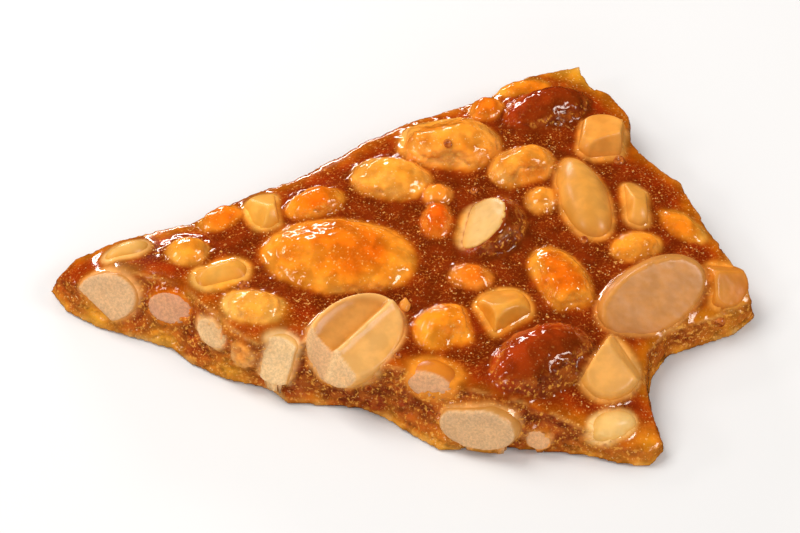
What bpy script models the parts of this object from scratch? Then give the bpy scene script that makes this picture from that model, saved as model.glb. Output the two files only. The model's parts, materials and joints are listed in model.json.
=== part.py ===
"""A broken shard of nut brittle: a slab of hard caramel with chopped peanuts set in it.

Blender 4.5, metres, +Z up. The shard lies flat, as poured, with its underside on z = 0.
The origin is under the middle of its bounding box, and X runs along its longest side.
Tables are in millimetres and degrees.
"""

import math

import bmesh
import bpy
from mathutils import Euler, Vector
from mathutils.geometry import delaunay_2d_cdt

MM = 0.001

CROWN_HEIGHT = 7.2  # caramel surface between the nuts, away from the broken edges
CROWN_REACH = 5.0  # how far in from the rim the surface takes to reach that height
LATTICE_STEP = 8.0  # spacing of the surface points inside the rim
RIM_CLEARANCE = 2.5  # no surface point lies closer to the rim than this
SOCKET_GAP = 0.3  # between a nut and the caramel round it
BIG_NUT_LENGTH = 9.0  # nuts longer than this get the finer mesh
BIG_NUT_RINGS = (10, 7)  # segments round a nut, and along it
SMALL_NUT_RINGS = (8, 6)
SHARP_ANGLE = 35.0  # edges of a nut's cuts stay crisp above this angle
FLAT_TOLERANCE = 0.001  # faces this alike in direction belong to one flat
WELD = 0.05  # points closer than this are one
FACE_WINDOW = 4  # rim points either side that set the way a broken face looks
STEEP_FOOT = 1.0  # where the foot stands out less, the face follows its own short stretch of rim

# The rim, counter-clockwise from the left tip: the top edge of the broken side all round.
# Each point is x, y, height, and how far the foot of the break stands out from under it.
FRONT_RIM = [
    (-43.9, -1.2, 3.0, 1.3),
    (-41.2, -3.4, 4.8, 1.8),
    (-38.3, -3.2, 6.3, 3.4),
    (-35.8, -2.9, 7.2, 4.8),
    (-31.2, -4.6, 7.5, 4.7),
    (-27.5, -6.0, 7.5, 4.6),
    (-24.6, -9.0, 7.5, 4.2),
    (-20.6, -13.0, 7.3, 2.6),
    (-17.4, -15.4, 7.2, 1.0),
    (-13.9, -12.5, 7.8, 5.0),
    (-11.6, -13.4, 7.8, 6.2),
    (-8.6, -16.6, 7.6, 2.8),
    (-4.6, -19.0, 7.4, 0.8),
    (-0.6, -19.1, 7.6, 2.6),
    (2.8, -20.0, 7.6, 4.1),
    (6.5, -21.7, 7.5, 4.9),
    (10.5, -23.0, 7.4, 2.8),
    (14.8, -24.0, 7.0, 2.1),
    (18.8, -25.0, 5.8, 1.5),
    (23.2, -26.6, 4.2, 0.5),
    (27.2, -27.6, 2.8, 0.7),
]
RIGHT_RIM = [
    (30.2, -27.9, 2.2, 0.8),
    (31.9, -26.2, 2.4, 0.6),
    (30.8, -22.4, 3.2, 0.7),
    (30.2, -18.6, 4.0, 0.8),
    (30.7, -14.9, 4.4, 0.9),
    (33.2, -10.9, 4.2, 0.9),
    (38.0, -8.9, 3.8, 0.9),
    (42.0, -7.3, 3.6, 0.9),
    (44.5, -5.5, 4.0, 0.5),
    (43.6, -3.1, 5.0, 0.3),
    (42.2, -0.5, 5.4, 0.4),
    (39.7, 5.2, 5.4, 0.4),
    (37.7, 10.3, 5.4, 0.4),
    (36.6, 13.2, 5.4, 0.3),
    (34.7, 14.8, 5.4, 0.4),
    (31.8, 18.4, 5.4, 0.4),
    (30.4, 20.6, 5.4, 0.3),
    (30.7, 25.0, 5.2, 0.3),
    (28.3, 29.6, 5.0, 0.4),
    (25.7, 30.9, 4.8, 0.3),
    (24.4, 34.8, 5.2, 0.3),
]
BACK_RIM = [
    (20.1, 33.2, 5.4, 0.3),
    (17.4, 32.3, 5.4, 0.3),
    (12.0, 28.4, 5.6, 0.4),
    (6.6, 25.8, 5.8, 0.4),
    (1.3, 23.5, 6.0, 0.4),
    (-4.0, 20.4, 6.0, 0.4),
    (-9.2, 16.5, 6.0, 0.4),
    (-14.3, 12.8, 6.0, 0.4),
    (-19.4, 10.9, 5.8, 0.3),
    (-23.0, 8.6, 5.6, 0.3),
    (-27.0, 6.2, 5.4, 0.4),
    (-32.1, 4.8, 5.2, 0.4),
    (-37.0, 3.2, 5.0, 0.4),
    (-41.8, 1.2, 4.0, 0.5),
]

# The nuts. at: centre; size: length, width, height; turn: heading of the length from +X;
# tilt: how far the length leans up; taper: how much narrower the far end is.
# cuts: flat faces that chopping or breaking left, each the heading and rise of the way it
# looks and its distance from the centre. dish: a hollow in the first cut, its margin and depth.
# finish: bare (creamy cut nut), glazed (under a film of caramel) or skin (red-brown skin on).
NUTS = {
    "nut_tip_sliver": dict(at=(-34.7, 0.6, 5.0), size=(6.8, 3.8, 4.6), turn=26, finish="bare"),
    "nut_tip_face": dict(
        at=(-36.7, -5.0, 4.2), size=(9.6, 6.6, 6.4), turn=18, finish="bare",
        cuts=[(249, 33, 0.9), (212, -38, 2.2)],
    ),
    "nut_face_second": dict(
        at=(-28.5, -7.1, 4.5), size=(6.6, 4.4, 4.4), turn=-12, finish="glazed", taper=0.1,
        cuts=[(249, 33, 0.8)],
    ),
    "nut_pebble_left": dict(at=(-27.0, 0.1, 5.6), size=(5.2, 4.8, 5.2), finish="glazed"),
    "nut_lean_chunk": dict(
        at=(-22.6, -4.0, 5.5), size=(8.4, 6.2, 6.2), turn=22, finish="bare",
        cuts=[(290, 55, 2.3), (110, 40, 2.4)],
    ),
    "nut_face_oval": dict(
        at=(-23.4, -11.3, 4.9), size=(5.2, 3.4, 3.6), turn=-58, finish="bare",
        cuts=[(240, 33, 0.7)],
    ),
    "nut_ridge_wedge": dict(
        at=(-17.8, -9.6, 6.1), size=(9.2, 5.0, 6.0), turn=-14, finish="glazed", taper=0.2,
        cuts=[(345, 35, 3.2), (250, 30, 2.4)],
    ),
    "nut_face_diamond": dict(
        at=(-14.9, -15.5, 4.7), size=(6.6, 6.6, 6.6), turn=70, finish="bare",
        cuts=[(249, 36, 1.2), (180, 8, 2.2), (332, 0, 2.0)],
    ),
    "nut_grooved_half": dict(
        at=(-5.7, -14.6, 7.3), size=(14.6, 10.6, 10.0), turn=47, finish="bare",
        cuts=[(290, 79, 1.6), (226, 22, 3.8)], dish=(1.5, 0.7),
    ),
    "nut_big_half": dict(
        at=(-7.8, -1.2, 5.6), size=(20.2, 13.0, 8.4), turn=-7, finish="glazed", taper=-0.08,
        cuts=[(280, -5, 5.6)],
    ),
    "nut_corner_block": dict(
        at=(-17.3, 6.8, 5.8), size=(6.0, 6.8, 6.6), finish="bare",
        cuts=[(200, 42, 2.0), (10, 10, 1.7), (100, 60, 2.3)],
    ),
    "nut_long_side": dict(at=(-10.9, 8.0, 5.9), size=(7.8, 4.4, 5.8), turn=22, finish="glazed"),
    "nut_glazed_lump": dict(at=(-1.1, 12.2, 5.9), size=(10.4, 7.0, 6.6), turn=-12, finish="glazed"),
    "nut_teardrop": dict(
        at=(6.2, 18.3, 6.2), size=(13.8, 9.2, 8.0), turn=-6, finish="glazed", taper=-0.15,
        cuts=[(262, 25, 3.9), (172, 36, 4.9), (110, 55, 3.1)],
    ),
    "nut_small_oval": dict(at=(4.7, 4.8, 6.4), size=(5.8, 3.4, 4.6), turn=86, finish="glazed"),
    "nut_pebble_mid": dict(at=(4.9, 9.3, 6.6), size=(3.4, 3.0, 3.6), turn=20, finish="glazed"),
    "nut_skin_cut": dict(
        at=(11.4, 3.7, 6.0), size=(10.2, 8.8, 9.4), turn=55, finish="skin",
        cuts=[(168, 58, 2.6)],
    ),
    "nut_crumb_mid": dict(at=(9.0, -4.5, 6.7), size=(5.2, 3.4, 3.4), turn=-12, finish="glazed"),
    "nut_wedge_back": dict(
        at=(15.9, 14.1, 6.3), size=(8.8, 6.6, 6.6), turn=24, finish="glazed",
        cuts=[(290, 35, 2.4), (120, 50, 2.8)],
    ),
    "nut_pebble_back": dict(at=(18.2, 8.4, 6.5), size=(4.4, 3.6, 4.2), turn=70, finish="glazed"),
    "nut_red_back": dict(at=(19.4, 24.9, 5.9), size=(12.0, 6.4, 6.4), turn=22, finish="skin"),
    "nut_block_back": dict(
        at=(26.6, 19.6, 6.2), size=(8.4, 8.0, 6.4), turn=20, finish="bare",
        cuts=[(100, 82, 2.3), (170, 12, 3.0), (350, 10, 2.7), (292, 35, 2.5)],
    ),
    "nut_smooth_kernel": dict(
        at=(23.6, 8.8, 6.2), size=(14.8, 6.8, 7.4), turn=-76, finish="bare", taper=-0.12,
    ),
    "nut_block_small": dict(
        at=(30.2, 7.9, 6.2), size=(8.0, 4.6, 5.4), turn=-80, finish="bare",
        cuts=[(180, 30, 1.4), (60, 60, 2.0), (0, 10, 1.7)],
    ),
    "nut_low_right": dict(at=(29.9, 0.8, 5.6), size=(6.8, 4.6, 5.2), turn=20, finish="glazed"),
    "nut_long_right": dict(at=(35.9, 5.0, 4.8), size=(8.0, 3.8, 4.2), turn=-38, finish="glazed"),
    "nut_flat_slice": dict(
        at=(31.5, -6.9, 6.2), size=(16.4, 9.2, 8.8), turn=37, finish="bare",
        cuts=[(298, 50, 1.7)],
    ),
    "nut_corner_right": dict(
        at=(40.8, -3.6, 4.5), size=(7.4, 6.6, 5.8), turn=70, finish="bare",
        cuts=[(320, 50, 1.9), (195, 25, 2.3), (75, 55, 2.2)],
    ),
    "nut_chunk_mid": dict(
        at=(20.2, -5.0, 6.2), size=(11.2, 6.6, 6.6), turn=-64, finish="glazed",
        cuts=[(80, 78, 2.6), (205, 30, 2.7), (288, 25, 4.1)],
    ),
    "nut_chunk_centre": dict(
        at=(12.7, -10.2, 6.2), size=(8.6, 7.4, 6.6), turn=50, finish="bare",
        cuts=[(100, 62, 2.6), (205, 25, 2.7), (305, 25, 2.5)],
    ),
    "nut_chunk_left": dict(
        at=(5.7, -12.8, 6.2), size=(8.0, 7.2, 6.6), turn=30, finish="glazed",
        cuts=[(12, 18, 2.8), (285, 40, 2.5)],
    ),
    "nut_red_whole": dict(at=(17.2, -17.7, 6.6), size=(13.8, 8.8, 8.0), turn=33, finish="skin"),
    "nut_block_front": dict(
        at=(25.7, -17.9, 5.6), size=(10.0, 8.0, 7.2), turn=56, finish="bare",
        cuts=[(296, 66, 2.5), (20, 36, 2.4), (150, 10, 2.1)],
    ),
    "nut_pale_low": dict(at=(25.6, -24.9, 3.3), size=(6.6, 4.0, 4.0), turn=14, finish="bare"),
    "nut_face_big": dict(
        at=(9.8, -24.8, 3.7), size=(10.2, 6.8, 6.0), turn=-8, finish="bare",
        cuts=[(254, 22, 1.3), (110, 65, 2.5)],
    ),
    "nut_ridge_slice": dict(
        at=(4.4, -19.5, 5.5), size=(8.8, 5.2, 4.8), turn=-20, finish="bare",
        cuts=[(247, 31, 2.0)],
    ),
    "nut_face_small": dict(
        at=(16.9, -26.0, 2.3), size=(3.2, 2.8, 2.8), finish="glazed", cuts=[(254, 20, 0.4)],
    ),
    "nut_back_long": dict(at=(16.6, 29.4, 4.6), size=(7.6, 3.6, 4.2), turn=10, finish="glazed"),
    "nut_back_bump": dict(at=(-22.9, 6.2, 4.9), size=(5.8, 4.2, 4.6), turn=25, finish="glazed"),
    "nut_face_disc": dict(
        at=(-19.3, -14.6, 4.6), size=(3.4, 3.0, 3.4), finish="glazed", cuts=[(240, 20, 0.6)],
    ),
    "nut_gloss_bump": dict(at=(11.6, 25.1, 5.6), size=(4.4, 3.6, 4.4), turn=24, finish="glazed"),
}

FINISHES = {  # colour, roughness
    "caramel": ((0.30, 0.075, 0.012), 0.18),
    "bare": ((0.76, 0.50, 0.25), 0.45),
    "glazed": ((0.80, 0.36, 0.06), 0.20),
    "skin": ((0.24, 0.045, 0.012), 0.25),
}


def clear_scene():
    for obj in list(bpy.data.objects):
        bpy.data.objects.remove(obj)


def finish_material(name):
    colour, roughness = FINISHES[name]
    material = bpy.data.materials.new(name)
    material.use_nodes = True
    shader = material.node_tree.nodes["Principled BSDF"]
    shader.inputs["Base Color"].default_value = (*colour, 1.0)
    shader.inputs["Roughness"].default_value = roughness
    return material


def add_object(name, bm, collection, at=(0, 0, 0)):
    """Makes an object from a bmesh in millimetres."""
    bmesh.ops.scale(bm, vec=(MM, MM, MM), verts=bm.verts)
    mesh = bpy.data.meshes.new(name)
    bm.to_mesh(mesh)
    bm.free()
    obj = bpy.data.objects.new(name, mesh)
    obj.location = Vector(at) * MM
    collection.objects.link(obj)
    return obj


def way(heading, rise):
    """The unit vector with that heading from +X and that rise above the ground, in degrees."""
    a, e = math.radians(heading), math.radians(rise)
    return Vector((math.cos(a) * math.cos(e), math.sin(a) * math.cos(e), math.sin(e)))


def face_outward(bm):
    bm.normal_update()
    bmesh.ops.recalc_face_normals(bm, faces=bm.faces)


def cut_flat(bm, looks, distance):
    """Slices off what lies past a plane and closes the slice."""
    everything = bm.verts[:] + bm.edges[:] + bm.faces[:]
    bmesh.ops.bisect_plane(
        bm, geom=everything, plane_co=looks * distance, plane_no=looks, clear_outer=True
    )
    bmesh.ops.holes_fill(bm, edges=[edge for edge in bm.edges if edge.is_boundary])


def hollow_cut(bm, looks, margin, depth):
    """Sinks the middle of the flat face that looks that way, leaving a margin round it."""
    facing = max(face.normal.dot(looks) for face in bm.faces)
    flat = [face for face in bm.faces if face.normal.dot(looks) > facing - FLAT_TOLERANCE]
    widest = max(flat, key=lambda face: face.calc_area())
    bmesh.ops.inset_individual(bm, faces=[widest], thickness=margin, depth=-depth)


def nut_shape(nut, grow=0.0):
    """The nut's closed mesh about its own centre, made larger all round by grow."""
    around, along = BIG_NUT_RINGS if max(nut["size"]) > BIG_NUT_LENGTH else SMALL_NUT_RINGS
    bm = bmesh.new()
    bmesh.ops.create_uvsphere(bm, u_segments=around, v_segments=along, radius=1.0)
    half = [side / 2 + grow for side in nut["size"]]
    turn = Euler((0, 0, math.radians(nut.get("turn", 0))))
    for vert in bm.verts:
        across, up, lengthwise = vert.co
        narrowing = 1 - nut.get("taper", 0) * lengthwise
        shaped = Vector((lengthwise * half[0], across * half[1] * narrowing, up * half[2]))
        shaped.rotate(turn)
        vert.co = shaped
    for heading, rise, distance in nut.get("cuts", []):
        cut_flat(bm, way(heading, rise), distance + grow)
    face_outward(bm)
    if "dish" in nut:
        hollow_cut(bm, way(*nut["cuts"][0][:2]), *nut["dish"])
    bmesh.ops.remove_doubles(bm, verts=bm.verts, dist=WELD)
    bmesh.ops.triangulate(bm, faces=bm.faces)
    return bm


def rim_outline():
    """The rim's points, and the foot of the break under each."""
    rim = FRONT_RIM + RIGHT_RIM + BACK_RIM
    count = len(rim)
    tops, feet = [], []
    for i, (x, y, height, stands_out) in enumerate(rim):
        before, after = rim[i - FACE_WINDOW], rim[(i + FACE_WINDOW) % count]
        if stands_out < STEEP_FOOT:
            before, after = rim[i - 1], rim[(i + 1) % count]
        outward = Vector((after[1] - before[1], before[0] - after[0])).normalized()
        tops.append(Vector((x, y, height)))
        feet.append(Vector((x + outward.x * stands_out, y + outward.y * stands_out, 0)))
    return tops, feet


def inside(point, outline):
    """Whether a point lies inside the outline, by counting the sides it looks across."""
    crossings = 0
    for i, a in enumerate(outline):
        b = outline[i - 1]
        if (a.y > point.y) != (b.y > point.y):
            crossings += point.x < a.x + (point.y - a.y) * (b.x - a.x) / (b.y - a.y)
    return crossings % 2 == 1


def surface_height(point, tops):
    """Caramel height at a point: the rim's own height there, rising to the crown."""
    weights = [1 / (point - top.xy).length_squared for top in tops]
    rim_height = sum(w * top.z for w, top in zip(weights, tops)) / sum(weights)
    nearest = min((point - top.xy).length for top in tops)
    return CROWN_HEIGHT + (rim_height - CROWN_HEIGHT) * math.exp(-nearest / CROWN_REACH)


def surface_points(tops):
    """A staggered lattice of points on the caramel's surface, clear of the rim."""
    low = [min(top[axis] for top in tops) for axis in (0, 1)]
    high = [max(top[axis] for top in tops) for axis in (0, 1)]
    points = []
    rows = int((high[1] - low[1]) / LATTICE_STEP)
    columns = int((high[0] - low[0]) / LATTICE_STEP)
    for row in range(1, rows + 1):
        for column in range(columns + 1):
            x = low[0] + (column + row % 2 / 2) * LATTICE_STEP
            point = Vector((x, low[1] + row * LATTICE_STEP))
            clear = min((point - top.xy).length for top in tops) > RIM_CLEARANCE
            if clear and inside(point, tops):
                points.append(Vector((point.x, point.y, surface_height(point, tops))))
    return points


def caramel_slab():
    """The slab without its sockets: a flat underside, broken sides and a gently uneven top."""
    tops, feet = rim_outline()
    count = len(tops)
    surface = tops + surface_points(tops)
    edges = [(i, (i + 1) % count) for i in range(count)]
    triangles = delaunay_2d_cdt([p.xy for p in surface], edges, [], 1, 1e-6)[2]
    bm = bmesh.new()
    top_verts = [bm.verts.new(p) for p in surface]
    foot_verts = [bm.verts.new(p) for p in feet]
    for triangle in triangles:
        bm.faces.new([top_verts[i] for i in triangle])
    for i in range(count):
        j = (i + 1) % count
        bm.faces.new((foot_verts[i], foot_verts[j], top_verts[j], top_verts[i]))
    bm.faces.new(reversed(foot_verts))
    face_outward(bm)
    return bm


def add_nuts(collection, sockets):
    """One object for each nut, and a slightly larger copy that cuts its socket."""
    materials = {name: finish_material(name) for name in FINISHES if name != "caramel"}
    nuts = []
    for name, nut in NUTS.items():
        obj = add_object(name, nut_shape(nut), collection, nut["at"])
        obj.data.materials.append(materials[nut["finish"]])
        obj.data.shade_smooth()
        obj.data.set_sharp_from_angle(angle=math.radians(SHARP_ANGLE))
        cutter = add_object("socket_" + name, nut_shape(nut, SOCKET_GAP), sockets, nut["at"])
        cutter.hide_render = True
        cutter.display_type = "WIRE"
        nuts += [obj, cutter]
    return nuts


def add_caramel(collection, sockets):
    caramel = add_object("caramel", caramel_slab(), collection)
    caramel.data.materials.append(finish_material("caramel"))
    cut = caramel.modifiers.new("sockets", "BOOLEAN")
    cut.operation = "DIFFERENCE"
    cut.operand_type = "COLLECTION"
    cut.collection = sockets
    cut.solver = "EXACT"
    return caramel


def centre_on_origin(objects):
    """Moves everything so that the middle of the bounding box is over the origin."""
    corners = [obj.location + v.co for obj in objects for v in obj.data.vertices]
    middle = [(min(c[axis] for c in corners) + max(c[axis] for c in corners)) / 2 for axis in (0, 1)]
    for obj in objects:
        obj.location -= Vector((middle[0], middle[1], 0))


def main():
    clear_scene()
    scene_collection = bpy.context.scene.collection
    sockets = bpy.data.collections.new("sockets")
    scene_collection.children.link(sockets)
    nuts = add_nuts(scene_collection, sockets)
    caramel = add_caramel(scene_collection, sockets)
    centre_on_origin([caramel] + nuts)


main()
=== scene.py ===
# Nut brittle piece: how it looks
import bpy
import json
import math
import random
import numpy as np
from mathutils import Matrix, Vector, noise
from mathutils.bvhtree import BVHTree
from mathutils.kdtree import KDTree

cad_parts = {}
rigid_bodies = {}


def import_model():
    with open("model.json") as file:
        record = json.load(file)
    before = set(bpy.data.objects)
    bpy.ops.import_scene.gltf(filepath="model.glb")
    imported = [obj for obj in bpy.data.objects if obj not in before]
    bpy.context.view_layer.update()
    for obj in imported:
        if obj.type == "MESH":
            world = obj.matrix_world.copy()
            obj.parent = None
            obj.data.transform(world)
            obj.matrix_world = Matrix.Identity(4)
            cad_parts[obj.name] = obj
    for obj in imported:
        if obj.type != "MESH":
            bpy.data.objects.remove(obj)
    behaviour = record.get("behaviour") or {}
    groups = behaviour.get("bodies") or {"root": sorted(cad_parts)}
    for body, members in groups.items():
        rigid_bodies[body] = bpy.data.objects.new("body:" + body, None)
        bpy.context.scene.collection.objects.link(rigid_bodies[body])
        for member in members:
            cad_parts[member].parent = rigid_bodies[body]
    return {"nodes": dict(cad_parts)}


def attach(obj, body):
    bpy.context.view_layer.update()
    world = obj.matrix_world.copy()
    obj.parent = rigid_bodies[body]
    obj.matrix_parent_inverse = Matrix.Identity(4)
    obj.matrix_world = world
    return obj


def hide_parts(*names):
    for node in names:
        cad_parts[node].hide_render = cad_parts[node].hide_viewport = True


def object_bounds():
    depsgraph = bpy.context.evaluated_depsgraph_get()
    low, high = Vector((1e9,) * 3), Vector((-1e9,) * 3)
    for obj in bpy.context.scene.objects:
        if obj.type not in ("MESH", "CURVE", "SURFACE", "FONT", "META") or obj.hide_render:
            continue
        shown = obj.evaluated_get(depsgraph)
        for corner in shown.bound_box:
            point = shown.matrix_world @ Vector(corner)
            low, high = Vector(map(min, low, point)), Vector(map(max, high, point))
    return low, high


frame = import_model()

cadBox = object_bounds()
mm = 0.001

# sizes in mm, turns in degrees; cuts are flat faces: heading and rise of the way each looks, then the
# distance from the middle; at is where the middle stands in the part's own drawing
kernels = {
    "nut_tip_sliver": dict(at=(-34.7, 0.6, 5.0), size=(6.8, 3.8, 4.6), turn=26, flesh="bare",
        tone=(232, 190, 128), amber=0.15),
    "nut_tip_face": dict(at=(-36.7, -5.0, 4.2), size=(9.6, 6.6, 6.4), turn=18,
        cuts=[(249, 33, 0.9), (212, -38, 2.2)], flesh="bare", tone=(216, 166, 114), amber=0.1, dry=[0]),
    "nut_face_second": dict(at=(-28.5, -7.1, 4.5), size=(6.6, 4.4, 4.4), turn=-12, taper=0.1,
        cuts=[(249, 33, 0.8)], flesh="glazed", tone=(214, 128, 30), amber=0.55, dry=[0], bareUpTo=4.7),
    "nut_pebble_left": dict(at=(-27.0, 0.1, 5.6), size=(5.2, 4.8, 5.2), flesh="glazed",
        tone=(246, 200, 120), amber=0.4),
    "nut_lean_chunk": dict(at=(-22.6, -4.0, 5.5), size=(8.4, 6.2, 6.2), turn=22,
        cuts=[(290, 55, 2.3), (110, 40, 2.4)], flesh="bare", tone=(242, 196, 118), amber=0.35),
    "nut_face_oval": dict(at=(-23.4, -11.3, 4.9), size=(5.2, 3.4, 3.6), turn=-58, cuts=[(240, 33, 0.7)],
        flesh="bare", tone=(236, 196, 146), amber=0.1, dry=[0]),
    "nut_ridge_wedge": dict(at=(-17.8, -9.6, 6.1), size=(9.2, 5.0, 6.0), turn=-14, taper=0.2,
        cuts=[(345, 35, 3.2), (250, 30, 2.4)], flesh="glazed", tone=(248, 200, 118), amber=0.25),
    "nut_face_diamond": dict(at=(-14.9, -15.5, 4.7), size=(6.6, 6.6, 6.6), turn=70,
        cuts=[(249, 36, 1.2), (180, 8, 2.2), (332, 0, 2.0)], flesh="bare", tone=(240, 206, 160), amber=0.1,
        dry=[0]),
    "nut_grooved_half": dict(at=(-5.7, -14.6, 7.3), size=(14.6, 10.6, 10.0), turn=47,
        cuts=[(290, 79, 1.6), (226, 22, 3.8)], flesh="bare", tone=(236, 184, 118), dry=[1],
        ridge=dict(offset=-0.6, lift=0.45, width=0.42, hollow=0.8, middle=2.2, reach=2.4)),
    "nut_big_half": dict(at=(-7.8, -1.2, 5.6), size=(20.2, 13.0, 8.4), turn=-7, taper=-0.08,
        cuts=[(280, -5, 5.6)], flesh="glazed", tone=(244, 194, 108), amber=0.85,
        pits=[(-2.4, -4.4, 0.6, 1.2), (-5.6, -7.4, 0.5, 1.1), (-11.0, -1.5, 0.3, 1.6)]),
    "nut_corner_block": dict(at=(-17.3, 6.8, 5.8), size=(6.0, 6.8, 6.6),
        cuts=[(200, 42, 2.0), (10, 10, 1.7), (100, 60, 2.3)], flesh="bare", tone=(246, 198, 112),
        amber=0.3),
    "nut_long_side": dict(at=(-10.9, 8.0, 5.9), size=(7.8, 4.4, 5.8), turn=22, flesh="glazed",
        tone=(244, 190, 90), amber=0.9),
    "nut_glazed_lump": dict(at=(-1.1, 12.2, 5.9), size=(10.4, 7.0, 6.6), turn=-12, flesh="glazed",
        tone=(248, 200, 120), amber=0.25),
    "nut_teardrop": dict(at=(6.2, 18.3, 6.2), size=(13.8, 9.2, 8.0), turn=-6, taper=-0.15,
        cuts=[(262, 25, 3.9), (172, 36, 4.9), (110, 55, 3.1)], flesh="glazed", tone=(246, 190, 110),
        amber=0.3),
    "nut_small_oval": dict(at=(4.7, 4.8, 6.4), size=(5.8, 3.4, 4.6), turn=86, flesh="glazed",
        tone=(236, 150, 70), amber=0.9),
    "nut_pebble_mid": dict(at=(4.9, 9.3, 6.6), size=(3.4, 3.0, 3.6), turn=20, flesh="glazed",
        tone=(240, 180, 110), amber=0.5),
    "nut_skin_cut": dict(at=(11.4, 3.7, 6.0), size=(10.2, 8.8, 9.4), turn=55, cuts=[(168, 58, 2.6)],
        flesh="skin", tone=(228, 190, 130)),
    "nut_crumb_mid": dict(at=(9.0, -4.5, 6.7), size=(5.2, 3.4, 3.4), turn=-12, flesh="glazed",
        tone=(240, 170, 90), amber=0.6),
    "nut_wedge_back": dict(at=(15.9, 14.1, 6.3), size=(8.8, 6.6, 6.6), turn=24,
        cuts=[(290, 35, 2.4), (120, 50, 2.8)], flesh="glazed", tone=(244, 196, 124), amber=0.35),
    "nut_pebble_back": dict(at=(18.2, 8.4, 6.5), size=(4.4, 3.6, 4.2), turn=70, flesh="glazed",
        tone=(244, 196, 124), amber=0.4),
    "nut_red_back": dict(at=(19.4, 24.9, 5.9), size=(12.0, 6.4, 6.4), turn=22, flesh="skin",
        tone=(160, 50, 8), amber=0.1),
    "nut_block_back": dict(at=(26.6, 19.6, 6.2), size=(8.4, 8.0, 6.4), turn=20,
        cuts=[(100, 82, 2.3), (170, 12, 3.0), (350, 10, 2.7), (292, 35, 2.5)], flesh="bare",
        tone=(240, 176, 94), amber=0.2),
    "nut_smooth_kernel": dict(at=(23.6, 8.8, 6.2), size=(14.8, 6.8, 7.4), turn=-76, taper=-0.12,
        flesh="bare", tone=(226, 166, 84), amber=0.1),
    "nut_block_small": dict(at=(30.2, 7.9, 6.2), size=(8.0, 4.6, 5.4), turn=-80,
        cuts=[(180, 30, 1.4), (60, 60, 2.0), (0, 10, 1.7)], flesh="bare", tone=(240, 184, 104), amber=0.2),
    "nut_low_right": dict(at=(29.9, 0.8, 5.6), size=(6.8, 4.6, 5.2), turn=20, flesh="glazed",
        tone=(244, 194, 112), amber=0.45),
    "nut_long_right": dict(at=(35.9, 5.0, 4.8), size=(8.0, 3.8, 4.2), turn=-38, flesh="glazed",
        tone=(244, 190, 100), amber=0.7),
    "nut_flat_slice": dict(at=(31.5, -6.9, 6.2), size=(16.4, 9.2, 8.8), turn=37, cuts=[(298, 50, 1.7)],
        flesh="bare", tone=(206, 144, 76)),
    "nut_corner_right": dict(at=(40.8, -3.6, 4.5), size=(7.4, 6.6, 5.8), turn=70,
        cuts=[(320, 50, 1.9), (195, 25, 2.3), (75, 55, 2.2)], flesh="bare", tone=(222, 152, 66), amber=0.2),
    "nut_chunk_mid": dict(at=(20.2, -5.0, 6.2), size=(11.2, 6.6, 6.6), turn=-64,
        cuts=[(80, 78, 2.6), (205, 30, 2.7), (288, 25, 4.1)], flesh="glazed", tone=(244, 190, 96),
        amber=0.9),
    "nut_chunk_centre": dict(at=(12.7, -10.2, 6.2), size=(8.6, 7.4, 6.6), turn=50,
        cuts=[(100, 62, 2.6), (205, 25, 2.7), (305, 25, 2.5)], flesh="bare", tone=(240, 184, 96),
        amber=0.3),
    "nut_chunk_left": dict(at=(5.7, -12.8, 6.2), size=(8.0, 7.2, 6.6), turn=30,
        cuts=[(12, 18, 2.8), (285, 40, 2.5)], flesh="glazed", tone=(244, 184, 80), amber=0.5),
    "nut_red_whole": dict(at=(17.2, -17.7, 6.6), size=(13.8, 8.8, 8.0), turn=33, flesh="skin",
        tone=(164, 48, 8)),
    "nut_block_front": dict(at=(25.7, -17.9, 5.6), size=(10.0, 8.0, 7.2), turn=56,
        cuts=[(296, 66, 2.5), (20, 36, 2.4), (150, 10, 2.1)], flesh="bare", tone=(236, 178, 102)),
    "nut_pale_low": dict(at=(25.6, -24.9, 3.3), size=(6.6, 4.0, 4.0), turn=14, flesh="bare",
        tone=(246, 206, 142)),
    "nut_face_big": dict(at=(9.8, -24.8, 3.7), size=(10.2, 6.8, 6.0), turn=-8,
        cuts=[(254, 22, 1.3), (110, 65, 2.5)], flesh="bare", tone=(210, 160, 104), amber=0.1, dry=[0]),
    "nut_ridge_slice": dict(at=(4.4, -19.5, 5.5), size=(8.8, 5.2, 4.8), turn=-20, cuts=[(247, 31, 2.0)],
        flesh="bare", tone=(216, 142, 50), amber=0.2, dry=[0]),
    "nut_face_small": dict(at=(16.9, -26.0, 2.3), size=(3.2, 2.8, 2.8), cuts=[(254, 20, 0.4)],
        flesh="glazed", tone=(232, 176, 116), amber=0.4, dry=[0]),
    "nut_back_long": dict(at=(16.6, 29.4, 4.6), size=(7.6, 3.6, 4.2), turn=10, flesh="glazed",
        tone=(244, 186, 90), amber=0.7),
    "nut_back_bump": dict(at=(-22.9, 6.2, 4.9), size=(5.8, 4.2, 4.6), turn=25, flesh="glazed",
        tone=(244, 176, 84), amber=0.9),
    "nut_face_disc": dict(at=(-19.3, -14.6, 4.6), size=(3.4, 3.0, 3.4), cuts=[(240, 20, 0.6)],
        flesh="glazed", tone=(230, 180, 130), amber=0.5),
    "nut_gloss_bump": dict(at=(11.6, 25.1, 5.6), size=(4.4, 3.6, 4.4), turn=24, flesh="glazed",
        tone=(240, 170, 80), amber=0.8),
}

# a whole, uncut kernel shows how far the finished part was moved to stand over its origin
wholeKernel = "nut_small_oval"
corners = np.array([v.co for v in frame["nodes"][wholeKernel].data.vertices])
moved = (corners.max(axis=0) + corners.min(axis=0))[:2] / 2 / mm - kernels[wholeKernel]["at"][:2]
for nut in kernels.values():
    nut["at"] = (nut["at"][0] + moved[0], nut["at"][1] + moved[1], nut["at"][2])
print("moved by", moved)

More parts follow.
